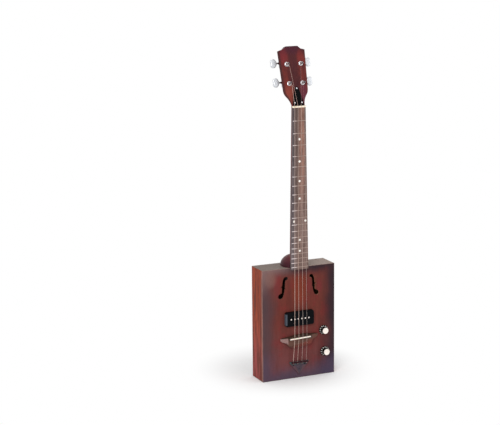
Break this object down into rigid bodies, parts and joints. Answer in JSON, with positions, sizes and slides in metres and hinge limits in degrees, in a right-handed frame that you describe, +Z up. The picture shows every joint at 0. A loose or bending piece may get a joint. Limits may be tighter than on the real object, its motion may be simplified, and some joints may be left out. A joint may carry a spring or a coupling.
{
  "type": "cigar box guitar",
  "caption": "Box bodied electric guitar: f holes, bolted fretted neck, tilted head with worm tuners, soapbar pickup, two knobs, wooden bridge, tailpiece and side jack.",
  "frame": {"origin": "middle of the box's flat tail end, which the guitar stands on", "axes": "+Z up the neck to the tip of the head, -Y out of the front panel, +X to the treble side"},
  "size_m": [0.2225, 0.085, 0.9089],
  "materials": {
    "stained_front": "satin sunburst stain, red brown in the middle and darker at the edges",
    "stained_side": "satin orange brown stain over dark grain",
    "stained_neck": "satin red brown stain",
    "plain_wood": "bare sawn wood",
    "rosewood": "oiled open grain",
    "bone": "polished cream",
    "black_plastic": "smooth black",
    "black_metal": "satin black",
    "chrome": "polished",
    "steel": "plain",
    "brass": "plain",
    "bronze": "wound wire",
    "cable": "black covered wire",
    "ceramic": "dipped coating"
  },
  "bodies": {
    "guitar": {"front_panel": "stained_front", "back_panel": "stained_side", "side_bass": "stained_side", "side_treble": "stained_side", "side_neck_end": "stained_side", "side_tail_end": "stained_side", "corner_block_neck_bass": "plain_wood", "corner_block_neck_treble": "plain_wood", "corner_block_tail_bass": "plain_wood", "corner_block_tail_treble": "plain_wood", "neck_block": "plain_wood", "tail_block": "plain_wood", "bridge_brace": "plain_wood", "pickup_block": "plain_wood", "neck": "stained_neck", "fretboard": "rosewood", "nut": "bone", "truss_rod": "steel", "neck_bolt_1": "steel", "neck_bolt_2": "steel", "truss_rod_cover": "black_plastic", "bridge": "rosewood", "saddle": "bone", "tailpiece": "black_metal", "string_1": "bronze", "string_2": "bronze", "string_3": "steel", "string_4": "steel", "pickup_cover": "black_plastic", "pickup_coil": "steel", "pickup_screw_bass": "steel", "pickup_screw_treble": "steel", "volume_pot": "steel", "tone_pot": "steel", "jack_plate": "chrome", "jack_socket": "chrome", "lead_pickup": "cable", "lead_jack": "cable", "tone_capacitor": "ceramic", "tuner_housing_bass_lower": "chrome", "tuner_bushing_bass_lower": "chrome", "tuner_housing_bass_upper": "chrome", "tuner_bushing_bass_upper": "chrome", "tuner_housing_treble_upper": "chrome", "tuner_bushing_treble_upper": "chrome", "tuner_housing_treble_lower": "chrome", "tuner_bushing_treble_lower": "chrome"},
    "key_bass_lower": {"tuner_key_bass_lower": "chrome"},
    "post_bass_lower": {"tuner_post_bass_lower": "chrome"},
    "key_bass_upper": {"tuner_key_bass_upper": "chrome"},
    "post_bass_upper": {"tuner_post_bass_upper": "chrome"},
    "key_treble_upper": {"tuner_key_treble_upper": "chrome"},
    "post_treble_upper": {"tuner_post_treble_upper": "chrome"},
    "key_treble_lower": {"tuner_key_treble_lower": "chrome"},
    "post_treble_lower": {"tuner_post_treble_lower": "chrome"},
    "volume_control": {"volume_shaft": "steel", "volume_knob": "black_plastic"},
    "tone_control": {"tone_shaft": "steel", "tone_knob": "black_plastic"},
    "truss_rod_nut": {"truss_rod_nut": "brass"}
  },
  "joints": [
    {"name": "key_bass_lower_turn", "type": "hinge", "parent": "guitar", "child": "key_bass_lower", "pos_m": [-0.0195, -0.00086, 0.81361], "axis": [-1, 0, 0], "continuous": true},
    {"name": "post_bass_lower_turn", "type": "hinge", "parent": "guitar", "child": "post_bass_lower", "pos_m": [-0.0195, -0.02084, 0.81244], "axis": [0, -0.9659, 0.2588], "continuous": true},
    {"name": "key_bass_upper_turn", "type": "hinge", "parent": "guitar", "child": "key_bass_upper", "pos_m": [-0.0206, 0.0126, 0.86383], "axis": [-1, 0, 0], "continuous": true},
    {"name": "post_bass_upper_turn", "type": "hinge", "parent": "guitar", "child": "post_bass_upper", "pos_m": [-0.0206, -0.00738, 0.86267], "axis": [0, -0.9659, 0.2588], "continuous": true},
    {"name": "key_treble_upper_turn", "type": "hinge", "parent": "guitar", "child": "key_treble_upper", "pos_m": [0.0206, 0.0126, 0.86383], "axis": [1, 0, 0], "continuous": true},
    {"name": "post_treble_upper_turn", "type": "hinge", "parent": "guitar", "child": "post_treble_upper", "pos_m": [0.0206, -0.00738, 0.86267], "axis": [0, -0.9659, 0.2588], "continuous": true},
    {"name": "key_treble_lower_turn", "type": "hinge", "parent": "guitar", "child": "key_treble_lower", "pos_m": [0.0195, -0.00086, 0.81361], "axis": [1, 0, 0], "continuous": true},
    {"name": "post_treble_lower_turn", "type": "hinge", "parent": "guitar", "child": "post_treble_lower", "pos_m": [0.0195, -0.02084, 0.81244], "axis": [0, -0.9659, 0.2588], "continuous": true},
    {"name": "volume_turn", "type": "hinge", "parent": "guitar", "child": "volume_control", "pos_m": [0.07449, -0.0345, 0.1275], "axis": [0, 1, 0], "range_deg": [-150, 150]},
    {"name": "tone_turn", "type": "hinge", "parent": "guitar", "child": "tone_control", "pos_m": [0.07848, -0.0345, 0.0663], "axis": [0, 1, 0], "range_deg": [-150, 150]},
    {"name": "truss_rod_nut_turn", "type": "hinge", "parent": "guitar", "child": "truss_rod_nut", "pos_m": [0, -0.029, 0.7625], "axis": [0, 0, 1], "range_deg": [-90, 90]}
  ],
  "couplings": [
    {"joint": "post_bass_lower_turn", "follows": "key_bass_lower_turn", "ratio": 0.083333},
    {"joint": "post_bass_upper_turn", "follows": "key_bass_upper_turn", "ratio": 0.083333},
    {"joint": "post_treble_upper_turn", "follows": "key_treble_upper_turn", "ratio": -0.083333},
    {"joint": "post_treble_lower_turn", "follows": "key_treble_lower_turn", "ratio": -0.083333}
  ]
}
